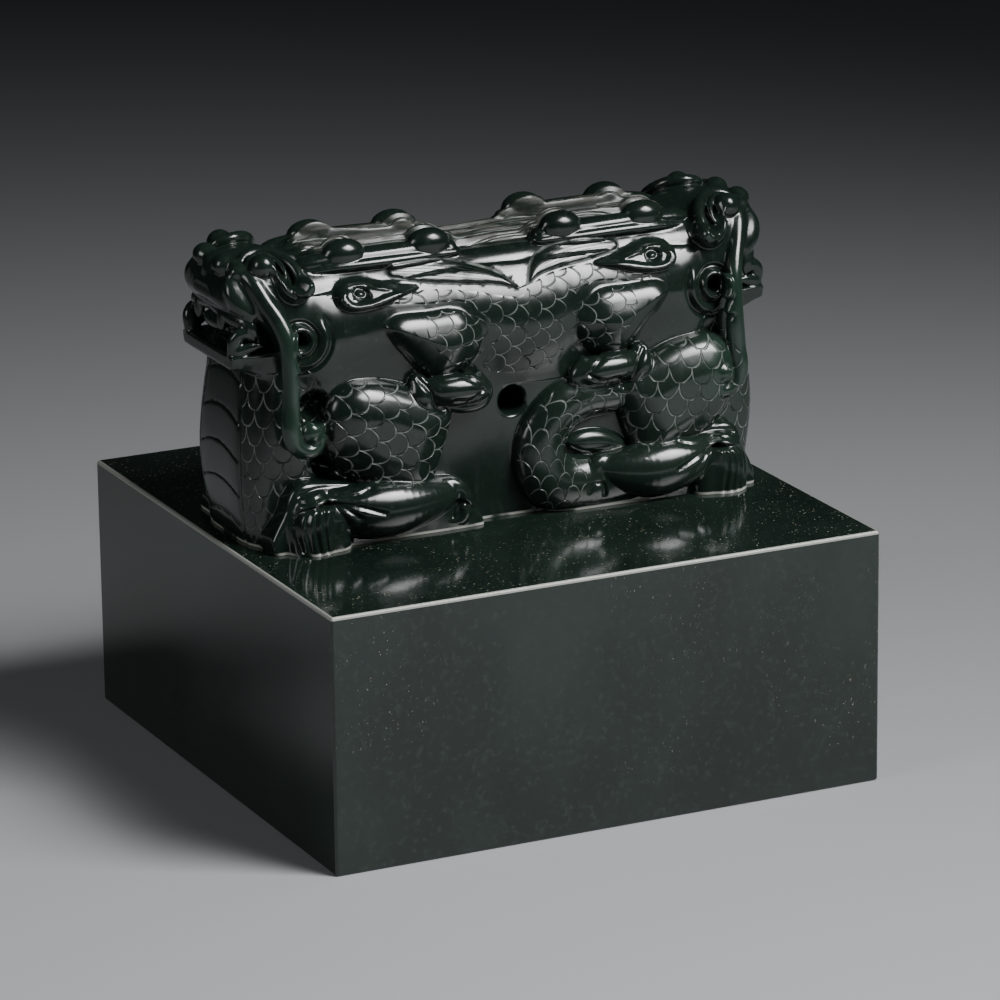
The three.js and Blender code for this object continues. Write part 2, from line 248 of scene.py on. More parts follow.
def wall_shape():
    """The wall between the heads, with rounded shoulders."""
    roll = (WALL - BACK_HALF, KNOB_HEIGHT - SHOULDER)

    def distance(along, out, up):
        out = out + 0.001 * (up - 16) ** 2
        x, z = np.maximum(out - BACK_HALF, 0) / roll[0], np.maximum(up - SHOULDER, 0) / roll[1]
        ratio = np.hypot(x, z)
        slope = np.maximum(np.hypot(x / roll[0], z / roll[1]), 1e-3)
        section = np.where(ratio > 1e-3, ratio * (ratio - 1) / slope, -5.0)
        return -soft_min(-section, WALL_END - np.abs(along), 3.0)

    return (-WALL_END, 0, -BURIED), (WALL_END, WALL, KNOB_HEIGHT), distance


def breast_shape():
    """The neck under a head, swelling towards the end of the block."""
    middle = 36.0

    def distance(along, out, up):
        reach = 13.4 + 2.2 * np.sin(np.pi * np.clip(up / 36 + 0.1, 0, 1))
        half = 13.1 + 0.7 * np.sin(np.pi * np.clip(up / 30, 0, 1))
        x, y = np.maximum(along - middle, 0) / reach, out / half
        ratio = (x ** 5 + y ** 5) ** 0.2
        return np.maximum((ratio - 1) * np.minimum(reach, half), np.maximum(middle - 6 - along, up - 36))

    return (middle - 6, 0, -BURIED), (52, 14, 36), distance


SKULL = [[28, 14.4, 17, 48.8, 0.25], [34, 14.8, 19, 49.6, 0.24], [38, 15.1, 25, 50.6, 0.22],
         [42.5, 15.1, 32, 51.9, 0.2], [46.5, 14, 38.6, 52.1, 0.2], [50, 12.1, 41.8, 51.2, 0.22],
         [52, 10.2, 42.8, 49.8, 0.24], [53.2, 7.8, 43.8, 48.6, 0.26], [53.9, 4.2, 45, 47.4, 0.26]]
SKULL_SQUARENESS = 3.4


def skull_shape():
    """A skull from sections of [along, half-width, bottom, top, taper]."""
    table = smooth_line(SKULL, 8)

    def distance(along, out, up):
        half, bottom, top, taper = (np.interp(along, table[:, 0], table[:, i]) for i in (1, 2, 3, 4))
        rise = np.clip((up - bottom) / (top - bottom), -0.5, 1.5)
        width = half * (1 - taper * rise)
        x, z = out / width, np.abs(2 * rise - 1)
        ratio = (x ** SKULL_SQUARENESS + z ** SKULL_SQUARENESS) ** (1 / SKULL_SQUARENESS)
        flat = (ratio - 1) * np.minimum(width, (top - bottom) / 2)
        return np.maximum(flat, np.maximum(table[0, 0] - along, along - table[-1, 0]))

    low = (table[0, 0], 0, table[:, 2].min())
    return low, (table[-1, 0], table[:, 1].max(), table[:, 3].max()), distance


def jaw_shape():
    """The lower jaw: a thin slab with a square front, thicker and lower towards the throat."""
    def distance(along, out, up):
        back = np.clip((53.0 - along) / 20, 0, 1)
        top, bottom = 36.0 - 0.9 * back, 33.3 - 9 * back ** 1.3
        half = 11.5 + 1.2 * np.sin(np.pi * back) - 0.6 * np.clip((top - up) / 3, 0, 1)
        gaps = [np.maximum(along - 53.3, 32 - along), out - half, np.maximum(up - top, bottom - up)]
        edge = 0.5
        outside = np.sqrt(sum(np.maximum(gap + edge, 0) ** 2 for gap in gaps))
        return outside + np.minimum(np.maximum(np.maximum(*gaps[:2]), gaps[2]) + edge, 0) - edge

    return (32, 0, 24), (53.3, 12.8, 36), distance


MOUTH = [[56, 42.4], [53.4, 42.7], [51.2, 43.2], [48.4, 41], [46.2, 38.9], [45.6, 37.4], [47, 36.3],
         [51, 36.1], [56, 36.1]]


def mouth_shape():
    """The gap between the jaws, cut right through from cheek to cheek."""
    def distance(along, out, up):
        return outline_gap(MOUTH, along[:, :, 0], up[0])[:, None, :] + 0 * out

    return (44, -1, 35), (56, 17, 45), distance


def sculpt_heads(clay):
    """Both heads at once: each form is drawn once, and the far side of a head is its near side mirrored."""
    add, carve = partial(clay.add, both_ends=True), partial(clay.carve, both_ends=True)
    sculpt_skull(add, carve)
    sculpt_mouth(add)
    sculpt_face(add, carve)
    sculpt_whisker(add)
    # the dark hollows behind the whisker and between the neck, the thigh and the foot
    carve(ball((38.7, 15.6, 25.6), (2.9, 5.5, 2.6), tilt=-0.3), soft=0.9)
    carve(ball((36.4, 17, 13.6), (4.2, 6.0, 2.6), tilt=0.5), soft=1.0)


def sculpt_skull(add, carve):
    """The neck, the skull and the jaw, with a groove under its lip."""
    add(breast_shape(), soft=1.5)
    add(skull_shape(), soft=2.0)
    add(jaw_shape(), soft=0.6)
    carve(mouth_shape())
    carve(tube([[53.9, -1, 34.9, 0.5], [53.9, 10.4, 34.9, 0.5]]), soft=0.2)
    carve(tube([[53.6, 11.8, 34.9, 0.45], [49.6, 12.9, 34.9, 0.45], [45.5, 13.2, 34.8, 0.4]]), soft=0.2)


def sculpt_mouth(add):
    """The tongue with its tip curled up, the upper teeth behind the lip, the fangs and a lower tooth."""
    tongue = [[44, 0, 37, 2], [48, 0, 38, 2.2], [51.2, 0, 39.9, 1.6]]
    add(tube(tongue, flat=(1, 2.9, 1)))
    upper = [[51.7, -1, 43.2, 1.2], [51.6, 4, 42.7, 1.4], [50.9, 8, 42, 1.6], [49.6, 10.8, 41.2, 1.3],
             [48.8, 11.8, 39.6, 0.5]]
    add(tube(upper, flat=(1, 0.8, 1)), soft=0.4)
    add(ball((52.3, 5.2, 41.2), (0.9, 1.2, 2.0)), soft=0.3)
    fang = [[51.8, 9.8, 36.4, 1.6], [52, 10.2, 38.6, 1.4], [50.8, 10.9, 39.8, 1.1], [49.2, 11.5, 38.8, 0.45]]
    add(tube(fang, flat=(1, 0.8, 1)), soft=0.5)
    tooth = [[51.4, 10.6, 36.6, 1.3], [49.6, 11.3, 37.2, 0.9], [47.6, 11.8, 37.5, 0.4]]
    add(tube(tooth, flat=(1, 0.7, 1)), soft=0.3)


def sculpt_face(add, carve):
    """The nose, the upper lip, the eye and its brow."""
    # two bulbs, a bridge behind them, a nostril, and the lip that rolls round the front
    add(ball((51.3, 4.2, 50.9), (2.3, 2.3, 2.2)), soft=0.5)
    add(ball((50.2, 7.8, 50.2), (1.7, 1.5, 1.5)), soft=0.5)
    add(ball((48.8, 0, 50.4), (4.4, 3.4, 2.2)), soft=1.2)
    add(ball((51.6, 0, 49.2), (2.0, 2.2, 2.0)))
    carve(ball((53.5, 4.3, 49.4), (0.8, 1.1, 0.8)))
    add(tube([[52.6, -1, 45.4, 1.4], [52.3, 4, 45.3, 1.5], [51, 8.6, 44.4, 1.4]]), soft=0.5)
    # the eye, with a brow that curls over it and back down the temple, and a thinner arc inside the brow
    add(ball((46.2, 9.6, 51.2), (2.4, 2.3, 2.4)), soft=0.15)
    brow = [[49.4, 7, 50.9, 0.6], [48.2, 5.9, 52.3, 0.95], [45.4, 5.6, 52.9, 1.1], [42.6, 7, 52.4, 1.15],
            [40.7, 9.4, 50.9, 1.1], [40.2, 11.6, 49.2, 0.9], [40.9, 12.8, 47.9, 0.6]]
    add(tube(brow), soft=0.25)
    inner = [[48.9, 8.6, 51.2, 0.35], [47.6, 7.5, 52.5, 0.5], [45.4, 7.5, 52.9, 0.55],
             [43.4, 8.8, 52, 0.55], [42.6, 10.4, 50.6, 0.5], [42.7, 11.8, 49.2, 0.35]]
    add(tube(inner), soft=0.2)
    add(ball((39.8, 13.4, 47.8), (1.5, 1.2, 1.5)), soft=0.2)
    # the upper lip's leaf under the nostril
    leaf = [[51.2, 7.2, 49.6, 1.2], [51.6, 8.6, 47, 1.8], [50.8, 10, 44.8, 1.7], [49.4, 11.2, 43, 0.9]]
    add(tube(leaf, flat=(1, 0.8, 1)), soft=0.6)


def sculpt_whisker(add):
    """A ridge on the cheek, then a free hanging lock that curls round its end."""
    whisker = [[50.2, 6.4, 51.2, 1.2], [48.5, 9.8, 48.8, 1.5], [46.9, 12.2, 45.2, 1.6],
               [45.3, 14.4, 41.8, 1.65], [44.4, 15.9, 38.2, 1.65], [44.3, 16.7, 32.1, 1.6],
               [44.5, 17, 26.7, 1.65], [44.8, 17.3, 23.2, 1.75], [44.2, 17.5, 20.4, 1.65],
               [42.4, 17.7, 18.9, 1.5], [40.4, 17.7, 19.1, 1.3], [39.2, 17.6, 20.8, 1.1]]
    add(tube(whisker), soft=0.5)
    add(ball((41.1, 17.6, 22.2), (2.2, 2.1, 2.3)), soft=0.25)
    add(tube([[40.4, 16.4, 21.8, 1.5], [37.8, 13.4, 22, 2.2]]))


def sculpt_back(clay):
    """Horns laid back along the top, and their beads."""
    add = partial(clay.add, both_ends=True)
    bed = [[37, 7.8, 48.8, 1.6], [30, 8, 49.3, 2.7], [18, 8, 49.3, 2.7], [9, 7.9, 49.2, 2.1]]
    add(tube(bed, flat=(1, 1, 0.5)), soft=0.15)
    horn = [[39, 6.8, 49.4, 1.4], [36, 7.2, 50, 2], [29, 7.6, 50.3, 2.2], [18, 7.6, 50.3, 2.2],
            [9.4, 7.5, 49.9, 1.9]]
    add(tube(horn, flat=(1, 1, 0.72)), soft=0.12)
    for along in (29.8, 13.2):
        add(ball((along, 7.8, 51.1), (4.1, 2.6, 2.8)), soft=0.2)


def sculpt_near_wall(clay):
    """The limbs, the tail and the scaled back of both bodies."""
    back = [[-34, 11.2, 37.6, 4.8], [-14, 11.4, 37.4, 5.6], [3, 11.4, 35.4, 7.6], [18, 11.4, 37.4, 5.6],
            [34, 11.2, 37.6, 4.8]]
    clay.add(tube(back, flat=(1, 0.62, 1)), soft=4.0)
    for side in (-1, 1):
        sculpt_foreleg(clay, side)
        sculpt_hind_leg(clay, HIND_MIDDLE[side], side)
    tail = [[along, WALL - 0.2, up, radius] for along, up, radius in TAIL]
    clay.add(tube(tail, flat=(1, 0.85, 1)), soft=0.3)
    clay.add(pad(TAIL_LEAF, 2.4, 1.8, crown=0.8, root=3), soft=0.3)


def sculpt_foreleg(clay, side):
    """A domed thigh, and a foot: its sole, the long smooth lobe that stands over it, and a fist of a paw."""
    clay.add(pad(placed(THIGH, THIGH_MIDDLE[side], side), 5.0, 3.2, crown=1.9, root=4), soft=0.35)
    clay.add(pad(on_foot(FOOT, side), 3.4, 1.2, crown=0.6, root=4), soft=0.3)
    lobe = [[36.5, 16.2, 7.4, 3.9], [31, 16.9, 6.3, 5.1], [25, 17.1, 6, 5.2], [19, 16.9, 6.4, 4],
            [13.6, 16.4, 7, 2.2]]
    clay.add(tube(on_foot(lobe, side), flat=(1, 0.94, 1)), soft=0.3)
    fist = [[40.6, 16.6, 7, 4.3], [41.2, 16.6, 4.2, 4.7], [41, 16.2, -1, 4.9]]
    knuckle = [[37.4, 17.2, 5.4, 3.1], [37, 17, 1.6, 3.2], [37, 16.6, -1, 3.2]]
    for finger in (fist, knuckle):
        clay.add(tube(on_foot(finger, side)))
    heel = [[16.4, 16.4, 8.6, 1.4], [12.8, 16.6, 8, 1.7], [10.9, 16.6, 5.2, 1.8], [11.4, 16.6, 2.2, 1.6],
            [14, 16.6, 1.6, 1]]
    clay.add(tube(on_foot(heel, side)), soft=0.3)


def sculpt_hind_leg(clay, middle, side):
    """A knee thrown outwards, its foot turned back under it, with a heel toe and a curled claw."""
    clay.add(pad(placed(KNEE, middle, side), 4.0, 3.0, crown=2.0, root=4), soft=0.35)
    fold = [[25.6, 17, 35.6, 1], [22, 17.6, 31.8, 1.6], [19.4, 17.4, 29.8, 0.8]]
    clay.carve(tube(placed(fold, middle, side)), soft=0.7)
    foot = [[18.4, 15.6, 26.2, 2], [14.6, 16.6, 26, 2.7], [9.8, 16.6, 25.8, 2.8], [7.4, 16, 25.2, 2.3]]
    clay.add(tube(placed(foot, middle, side)), soft=0.4)
    heel = [[19.2, 15.4, 27.6, 1.9], [18.8, 16, 25.6, 2.5], [17.6, 16, 24, 2.2]]
    claw = [[7.6, 16.2, 27.4, 1.3], [6.2, 16.2, 25, 1.5], [7.4, 16.4, 22.9, 1.4], [11, 16.4, 22.4, 1.2],
            [14.4, 16, 23, 0.8]]
    for toe in (heel, claw):
        clay.add(tube(placed(toe, middle, side)), soft=0.3)


class Drawing:
    """Low relief drawn on a plane and pushed out of, or into, the clay along its slope."""

    def __init__(self, along, up):
        self.along, self.up = along[:, None], up[None, :]
        self.rise = np.zeros((along.size, up.size))

    def line_gap(self, points):
        """The distance to a smooth open line through the points."""
        line = smooth_line(points, per=5)
        best = np.full(self.rise.shape, 1e9)
        for a, b in zip(line, line[1:]):
            _, x, z = segment_gap(a, b, self.along, self.up)
            best = np.minimum(best, x ** 2 + z ** 2)
        return np.sqrt(best)

    def ridge(self, points, high, wide):
        """A round ridge along a line, or a groove where high is negative."""
        self.rise += high * np.exp(-(self.line_gap(points) / wide) ** 2)

    def island(self, outline, high, edge):
        """A raised flat form inside an outline, or a hollow where high is negative."""
        self.rise += high * step_up(-outline_gap(outline, self.along, self.up), -0.15, edge)


EAR = [[34, 44.6], [32.6, 46.7], [29.1, 47.3], [25.2, 46.5], [21.4, 45.4], [17.4, 44.6], [21.7, 43.4],
       [25.9, 42.3], [30.3, 42], [33, 42.8]]
EAR_HOLLOW = [[32.2, 45], [30.8, 46.1], [27.9, 46.2], [24.4, 45.5], [21.4, 44.9], [24.6, 44.2], [28.2, 43.4],
              [31, 43.5]]
EAR_PIT = [[30.7, 45], [29.9, 45.9], [28.6, 46], [27.6, 45.4], [27.5, 44.4], [28.4, 43.9], [29.8, 44]]
COMMA = [[45.2, 51.6], [45.2, 48.8], [44.3, 46.2], [42, 44.6], [39.6, 44.9], [37.9, 46.4], [37.9, 48.3],
         [39, 49.6], [40.4, 49.2], [41.2, 48], [42.8, 49.3], [44.2, 51.4]]
RING = (41.3, 38.1)
LOCKS = {
    -1: [[-21.4, 47.7, 1.3], [-14, 46.9, 2], [-7, 45.7, 1.6], [-2, 44.4, 1], [1.6, 42.5, 0.1]],
    1: [[3.6, 42.9, 0.1], [6.3, 45.3, 1.2], [10.5, 46.6, 1.7], [16, 47.2, 1.8], [22.6, 47.2, 1]],
}
LOCK_LINES = 4.0


def draw_cheek(drawing):
    """The comma behind the eye, the ring at the mouth's corner, its folds and the ear."""
    drawing.island(COMMA, 1.3, 1.3)
    x, z = drawing.along - RING[0], drawing.up - RING[1]
    gap = np.hypot(x, z)
    clear = step_up(44.2 - drawing.along, 0, 1.2)
    behind = step_up(-x * 0.75 - z * 0.65, 0.5, 3.0) * clear
    ring = 0.6 * np.exp(-((gap - 2.2) / 0.6) ** 2) - 0.4 * np.exp(-((gap - 3.2) / 0.4) ** 2)
    drawing.rise += clear * ring
    outer = 0.5 * np.exp(-((gap - 4.7) / 0.7) ** 2) - 0.45 * np.exp(-((gap - 5.8) / 0.5) ** 2)
    drawing.rise += behind * outer
    slant = np.hypot((x * 0.8 + z * 0.6) / 1.2, z * 0.8 - x * 0.6)
    drawing.rise -= clear * 3.0 * step_up(1.15 - slant, 0, 0.3)
    drawing.island(EAR, 1.5, 1.0)
    drawing.island(EAR_HOLLOW, -0.45, 0.5)
    drawing.island(EAR_PIT, -0.7, 0.4)
    drawing.ridge([[29.4, 45], [28.8, 44.9]], 0.4, 0.5)


def lock_places(points, along, up):
    """Where a place lies on a lock: its signed share of the half-width, and the distance past the edge."""
    line = smooth_line(points, per=8)
    best = np.full(np.broadcast(along, up).shape, 1e9)
    share_of = np.zeros(best.shape)
    edge = np.full(best.shape, 9.0)
    for a, b in zip(line, line[1:]):
        t, x, z = segment_gap(a, b, along, up)
        gap = np.hypot(x, z)
        wide = a[2] + t * (b[2] - a[2])
        sign = np.sign((b[0] - a[0]) * z - (b[1] - a[1]) * x)
        found = (gap, sign * gap / wide, gap - wide)
        best, share_of, edge = np.where(gap < best, found, (best, share_of, edge))
    return share_of, edge


HIND_GROOVES = (([[19.4, 28.6], [17.6, 26.2], [16.6, 23.2], [15.2, 22.4]], 0.5, 0.42),
                ([[13.4, 24.4], [10, 24.2], [7.6, 25.6]], 0.4, 0.4),
                ([[10.6, 28.2], [8.6, 26.8], [7.8, 25.6]], 0.3, 0.36))


def paw_grooves():
    """The lines of a paw: toes and tendons from its knot, two folds over the foot and the heel's curl."""
    x, z = 38.8, 8.9
    for spread, fall in ((6, 0.4), (4.5, 0.2), (3, 0), (1.4, -0.2)):
        yield [[x, z], [x + spread * 0.75, 8.2], [38.9 + spread, 5.5], [38.2 + spread, 0.6 + fall]], 0.45, 0.4
    for reach, drop in ((3.6, 4.2), (5.6, 3), (10.2, 2.6)):
        yield [[x, z], [x - reach * 0.5, z - drop * 0.3], [x - reach, z - drop]], 0.4, 0.4
    for lift in (0.4, 1.5):
        yield [[43.4, 9 + lift], [39.6, 9.9 + lift], [34, 9.4 + lift], [30, 10.2 + lift]], 0.3, 0.34
    yield [[13.6, 2.6], [13.2, 4.6], [11.4, 5], [10, 3.6]], 0.4, 0.36


def draw_wall(drawing):
    """Combed locks over the shoulders and the grooves of the paws."""
    for points in LOCKS.values():
        share, edge = lock_places(points, drawing.along, drawing.up)
        drawing.rise += step_up(-edge, -0.1, 0.4) * (0.5 - 0.25 * np.clip(share, -1, 1) ** 2)
    for side in (-1, 1):
        for line, deep, wide in paw_grooves():
            drawing.ridge(on_foot(line, side), -deep, wide)
        for line, deep, wide in HIND_GROOVES:
            drawing.ridge(placed(line, HIND_MIDDLE[side], side), -deep, wide)


SCALE_WIDE = 3.7
SCALE_LONG = 2.5
BODY_BAND = [[-24, 42.8], [-17, 44.2], [-8, 43.2], [1, 41.2], [4, 42.8], [10, 44.6], [20, 44.8],
             [28, 42.6], [27, 40.4], [17, 41.6], [11, 38.6], [10.4, 33], [9.4, 28.4], [2, 26.6], [-6, 28.6],
             [-4.4, 35], [-9, 41], [-17, 41.6]]


def lattice(along, up, turn, wide=SCALE_WIDE, long=SCALE_LONG):
    """Scale coordinates on the wall: across the rows and along them, towards the scales' tips."""
    c, s = math.cos(math.radians(turn)), math.sin(math.radians(turn))
    return (-along * s + up * c) / wide, (along * c + up * s) / long


def tail_lattice(along, up):
    """Rows that climb from the block and turn with the tail towards its tip."""
    x, z = TAIL_HEART[0] - along, up - TAIL_HEART[1]
    turn = np.arctan2(np.maximum(z, 0), x)
    return np.where(z > 0, np.hypot(x, z), x) / 3.1, np.where(z > 0, TAIL_HEART[1] + 8 * turn, up) / 2.7


def wall_regions():
    """The scaled parts of the near wall, the later ones lying over the earlier: [distance, lattice]."""
    def tail_gap(along, up):
        gaps = [np.hypot(along - a, up - z) - radius for a, z, radius in smooth_line(TAIL, 6)]
        return np.minimum.reduce(gaps) + 0.3

    regions = [(partial(outline_gap, BODY_BAND), partial(lattice, turn=-12)), (tail_gap, tail_lattice)]
    for side, thigh_turn, knee_turn in ((-1, -16, -30), (1, -100, -20)):
        thigh, knee = placed(THIGH, THIGH_MIDDLE[side], side), placed(KNEE_SCALES, HIND_MIDDLE[side], side)
        thigh_rows = partial(lattice, turn=thigh_turn, wide=4.2, long=3.0)
        regions.append((partial(outline_gap, thigh), thigh_rows))
        regions.append((partial(outline_gap, knee), partial(lattice, turn=knee_turn)))
    return regions


def plain_gap(along, up):
    """The distance to what lies over the scales and has none: feet and ears, negative on them."""
    outlines = [placed(EAR, 0, side) for side in (-1, 1)]
    for side in (-1, 1):
        outlines.append(on_foot(FOOT, side))
        outlines.append(placed(HIND_FOOT, HIND_MIDDLE[side], side))
    return np.minimum.reduce([outline_gap(outline, along, up) for outline in outlines])


def neck_lattice(along, out, up):
    """Scale coordinates round the side of the neck, with the tips down, and the distance past their edge."""
    round_it = out + NECK_FRONT - along
    sides = (BELLY_EDGE + 0.3 - round_it, 37.4 - along, up - 32.5, out - 14.4)
    return round_it / 4.4, -up / 3.2, reduce(np.maximum, sides)


def carve_relief(clay):
    """Pushes the drawn relief, the belly plates and the combed mane into the clay."""
    count = clay.along.size // 2
    cheek = Drawing(clay.along[count:], clay.up)
    draw_cheek(cheek)
    wall = Drawing(clay.along, clay.up)
    draw_wall(wall)
    wall.rise += np.vstack([cheek.rise[::-1], cheek.rise])
    wall.rise += 0.1 * np.sin(wall.along / 3.1 + 0.6 * np.sin(wall.up / 5)) * np.sin(wall.up / 4.3 + 1)
    outer = step_up(clay.out, 7, 9)[None, :, None]
    clay.field -= (outer * wall.rise[:, None, :]).astype(np.float32)
    clay.change(belly_plates(), lambda old, rise: old - rise, 0, both_ends=True)
    comb_mane(clay)


PLATE_PITCH = 6.6
BELLY_EDGE = 8.6
NECK_FRONT = 51


def belly_plates():
    """The plates under a neck, which sag, and the groove beside them: how far they rise, in a box."""
    def rise(along, out, up):
        round_it = out + NECK_FRONT - along
        share = np.mod((up + 0.03 * out ** 2 + 2.2) / PLATE_PITCH, 1)
        near_end = step_up(along, 42, 44) * step_up(34 - up, 0, 2)
        strip = step_up(BELLY_EDGE - 0.3 - round_it, 0, 0.6) * near_end
        seam = np.exp(-(np.minimum(share, 1 - share) / 0.04) ** 2)
        groove = near_end * np.exp(-((BELLY_EDGE - round_it) / 0.35) ** 2)
        return strip * (0.16 * share - 0.08 * seam) - 0.25 * groove

    return (40, 0, 0), (54, 15, 36), rise


def waver_at(along):
    """How far the combed hair strays outwards along the back."""
    return 0.5 * np.sin(along / 7.0) + 0.25 * np.sin(along / 2.9 + 1)


def comb_mane(clay):
    """Long strands between the horns, wavering along the back."""
    along, out = clay.along[:, None], clay.out[None, :]
    waver = waver_at(along)
    strands = 1.2 + 0.16 * np.cos(2 * math.pi * (out + waver) / 1.3)
    strands = strands + 0.45 * np.cos(2 * math.pi * (out + 0.6 * waver) / 4.1)
    mask = step_up(6.0 - out, 0, 1.0) * step_up(37.5 - np.abs(along), 0, 4)
    high = step_up(clay.up, 44, 46)[None, None, :]
    clay.field -= (mask * strands)[:, :, None].astype(np.float32) * high.astype(np.float32)


def make_knob_field():
    clay = Clay(half_length=56, depth=23, low=-BURIED, high=56)
    clay.add(wall_shape(), soft=0)
    sculpt_heads(clay)
    sculpt_near_wall(clay)
    sculpt_back(clay)
    carve_relief(clay)

    def bore(along, out, up):
        flare = 0.5 * np.exp(-np.abs(WALL - out) / 0.6)
        return np.hypot(along, up - CORD_HOLE_UP) - CORD_HOLE_RADIUS - flare + 0 * out

    reach = CORD_HOLE_RADIUS + 2
    clay.carve(((-reach, -1, CORD_HOLE_UP - reach), (reach, 22, CORD_HOLE_UP + reach), bore))
    return clay


def skin_of(field, low):
    """A mesh of the surface where the field is zero: one point in each cell that it passes through."""
    inside = field < 0
    corners = [(i, j, k) for i in (0, 1) for j in (0, 1) for k in (0, 1)]
    size = [n - 1 for n in field.shape]

    def shifted(values, step):
        return values[tuple(slice(s, s + n) for s, n in zip(step, size))]

    total = sum(shifted(inside, corner).astype(np.uint8) for corner in corners)
    cells = np.argwhere((total > 0) & (total < 8))
    number = np.full(size, -1, np.int32)
    number[tuple(cells.T)] = np.arange(len(cells))
    value = {corner: field[tuple((cells + corner).T)] for corner in corners}
    places, crossings = np.zeros((len(cells), 3)), np.zeros(len(cells))
    for start in corners:
        for axis in range(3):
            if start[axis]:
                continue
            end = tuple(1 if i == axis else start[i] for i in range(3))
            a, b = value[start], value[end]
            crosses = (a < 0) != (b < 0)
            share = np.where(crosses, a / np.where(crosses, a - b, 1), 0)
            point = np.array(start) + share[:, None] * (np.arange(3) == axis)
            places += point * crosses[:, None]
            crossings += crosses
    places = (cells + places / crossings[:, None]) * CELL + low
    quads = []
    for axis in range(3):
        one, two = [i for i in range(3) if i != axis]
        ahead = np.eye(3, dtype=int)
        a, b = (inside[tuple(slice(s, n - 1 + s) if i == axis else slice(1, n - 1)
                             for i, n in enumerate(field.shape))] for s in (0, 1))
        edges = np.argwhere(a != b)
        leaves = a[tuple(edges.T)]
        base = edges + (1 - ahead[axis]) * np.array([1, 1, 1])
        ring = [base - ahead[one] - ahead[two], base - ahead[two], base, base - ahead[one]]
        ring = np.stack([number[tuple(corner.T)] for corner in ring], axis=1)
        flip = leaves if axis != 1 else ~leaves
        quads.append(np.where(flip[:, None], ring, ring[:, ::-1]))
    return places, np.vstack(quads)


def whole_knob(clay):
    """The near half and the same half turned round, closed underneath."""
    near = clay.field.copy()
    near[:, :, 0] = CELL
    field = np.concatenate([near[:, ::-1], near[::-1]], axis=1)
    low = np.array([clay.along[0], -clay.out[-1], clay.up[0]])
    return field, low


def slopes_at(field, low, places):
    """The field's outward direction at each place."""
    slopes = []
    for axis in range(3):
        step = np.eye(3)[axis] * CELL * 0.6
        ahead, behind = (read_field(field, low, places + way * step) for way in (1, -1))
        slopes.append(ahead - behind)
    slopes = np.stack(slopes, axis=1)
    return slopes / np.maximum(np.linalg.norm(slopes, axis=1, keepdims=True), 1e-9)


def read_field(field, low, places):
    """The field's value at each place, between its cells' own."""
    at = np.clip((places - low) / CELL, 0, np.array(field.shape) - 1.001)
    base = at.astype(int)
    share = at - base
    value = np.zeros(len(places))
    for corner in np.ndindex(2, 2, 2):
        weight = np.prod(np.where(corner, share, 1 - share), axis=1)
        value += weight * field[tuple((base + corner).T)]
    return value


def linked(name, data):
    """A new object in the scene."""
    thing = bpy.data.objects.new(name, data)
    bpy.context.collection.objects.link(thing)
    return thing


def thinned_out(places, quads, facets):
    """A mesh with fewer facets, kept where the surface bends."""
    mesh = bpy.data.meshes.new("knob")
    mesh.from_pydata(places.tolist(), [], quads.tolist())
    mesh.validate()
    piece = linked("thinning", mesh)
    count = sum(len(face.vertices) - 2 for face in mesh.polygons)
    modifier = piece.modifiers.new("thin", "DECIMATE")
    modifier.ratio = min(1.0, facets / count)
    modifier.use_collapse_triangulate = True
    graph = bpy.context.evaluated_depsgraph_get()
    thinned = bpy.data.meshes.new_from_object(piece.evaluated_get(graph))
    bpy.data.objects.remove(piece)
    return thinned


def make_knob():
    """The knob's corners, their normals, its triangles and the corners' attributes."""
    clay = make_knob_field()
    field, low = whole_knob(clay)
    places, quads = skin_of(field, low)
    mesh = thinned_out(places, quads, FACETS)
    spots = np.empty(len(mesh.vertices) * 3)
    mesh.vertices.foreach_get("co", spots)
    spots = spots.reshape(-1, 3)
    normals = slopes_at(field, low, spots)
    maps = surface_maps(spots)
    spots[:, 2] += BLOCK_HEIGHT
    triangles = np.empty(len(mesh.polygons) * 3, int)
    mesh.polygons.foreach_get("vertices", triangles)
    return spots, normals, triangles.reshape(-1, 3), maps


def add_box(form, place, size):
    bmesh.ops.create_cube(form, size=1.0, matrix=Matrix.Translation(place) @ Matrix.Diagonal((*size, 1)))


def make_block():
    """The block with eased edges and rows of shallow strokes on its underside, as corners and faces."""
    form = bmesh.new()
    add_box(form, (0, 0, BLOCK_HEIGHT / 2), (BLOCK_SIDE, BLOCK_SIDE, BLOCK_HEIGHT))
    bmesh.ops.bevel(form, geom=form.edges[:] + form.verts[:], offset=BLOCK_EDGE, segments=3, affect="EDGES",
                    profile=0.5)
    mesh = bpy.data.meshes.new("block")
    form.to_mesh(mesh)
    form.free()
    field = BLOCK_SIDE - 2 * FACE_BORDER
    pitch = field / STROKE_COLUMNS
    rows = int(field // (STROKE_WIDTH + STROKE_GAP))
    cutter = bmesh.new()
    for column in range(STROKE_COLUMNS):
        for row in range(rows):
            length = pitch * (0.78 if (row + column) % 2 else 0.5)
            place = ((column + 0.5) * pitch - field / 2, ((row + 0.5) / rows - 0.5) * field, 0)
            add_box(cutter, place, (length, STROKE_WIDTH, 2 * STROKE_DEPTH))
    cut = bpy.data.meshes.new("strokes")
    cutter.to_mesh(cut)
    cutter.free()
    piece, tool = linked("block", mesh), linked("strokes", cut)
    modifier = piece.modifiers.new("cut", "BOOLEAN")
    modifier.object, modifier.operation, modifier.solver = tool, "DIFFERENCE", "EXACT"
    graph = bpy.context.evaluated_depsgraph_get()
    result = bpy.data.meshes.new_from_object(piece.evaluated_get(graph))
    for thing in (piece, tool):
        bpy.data.objects.remove(thing)
    places = np.array([corner.co for corner in result.vertices])
    return places, [list(face.vertices) for face in result.polygons]


